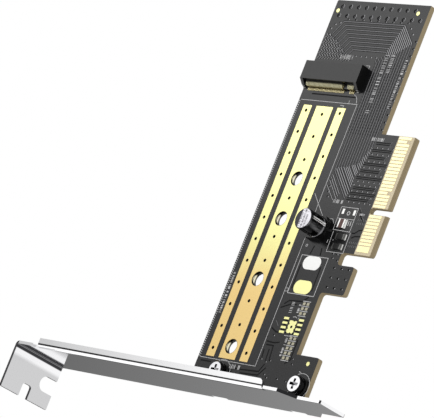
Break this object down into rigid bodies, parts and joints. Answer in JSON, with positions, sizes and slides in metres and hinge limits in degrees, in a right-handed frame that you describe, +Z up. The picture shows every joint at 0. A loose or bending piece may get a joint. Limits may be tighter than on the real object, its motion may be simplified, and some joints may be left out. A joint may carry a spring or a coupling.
{
  "type": "nvme adapter card",
  "caption": "Dark expansion card with a keyed gold edge, a flat module socket, bare gold cooling stripes and a folded steel bracket with a top tab.",
  "frame": {"origin": "centre of the key notch on the tongue's bottom edge, at half the board's thickness", "axes": "+X along the board away from the bracket, +Z up from the slot, component side faces -Y"},
  "size_m": [0.1307, 0.0184, 0.12],
  "materials": {
    "board_mask": "satin",
    "finger_gold": "polished",
    "stripe_gold": "satin",
    "socket_plastic": "satin",
    "contact_gold": "polished",
    "tin_plate": "satin",
    "capacitor_plastic": "gloss",
    "can_metal": "satin",
    "ceramic_brown": "satin",
    "solder_tin": "satin",
    "resistor_black": "satin",
    "pad_tin": "satin",
    "bracket_steel": "bright",
    "screw_steel": "polished"
  },
  "bodies": {
    "root": {"pcb": "board_mask", "edge_fingers_front": "finger_gold", "edge_fingers_back": "finger_gold", "thermal_stripes": "stripe_gold", "socket_housing": "socket_plastic", "socket_upper_contacts": "contact_gold", "socket_lower_contacts": "contact_gold", "socket_solder_tabs": "tin_plate", "capacitor_base": "capacitor_plastic", "capacitor_can": "can_metal", "capacitor_terminals": "tin_plate", "ceramic_capacitor_body": "ceramic_brown", "ceramic_capacitor_ends": "solder_tin", "resistor_bodies": "resistor_black", "resistor_ends": "solder_tin", "power_pad_tinned": "solder_tin", "power_pad_gold": "finger_gold", "spare_part_pads": "solder_tin", "driver_pads": "finger_gold", "chip_pads": "pad_tin", "sighting_marks": "finger_gold", "bracket": "bracket_steel", "bracket_screws": "screw_steel"}
  },
  "joints": []
}
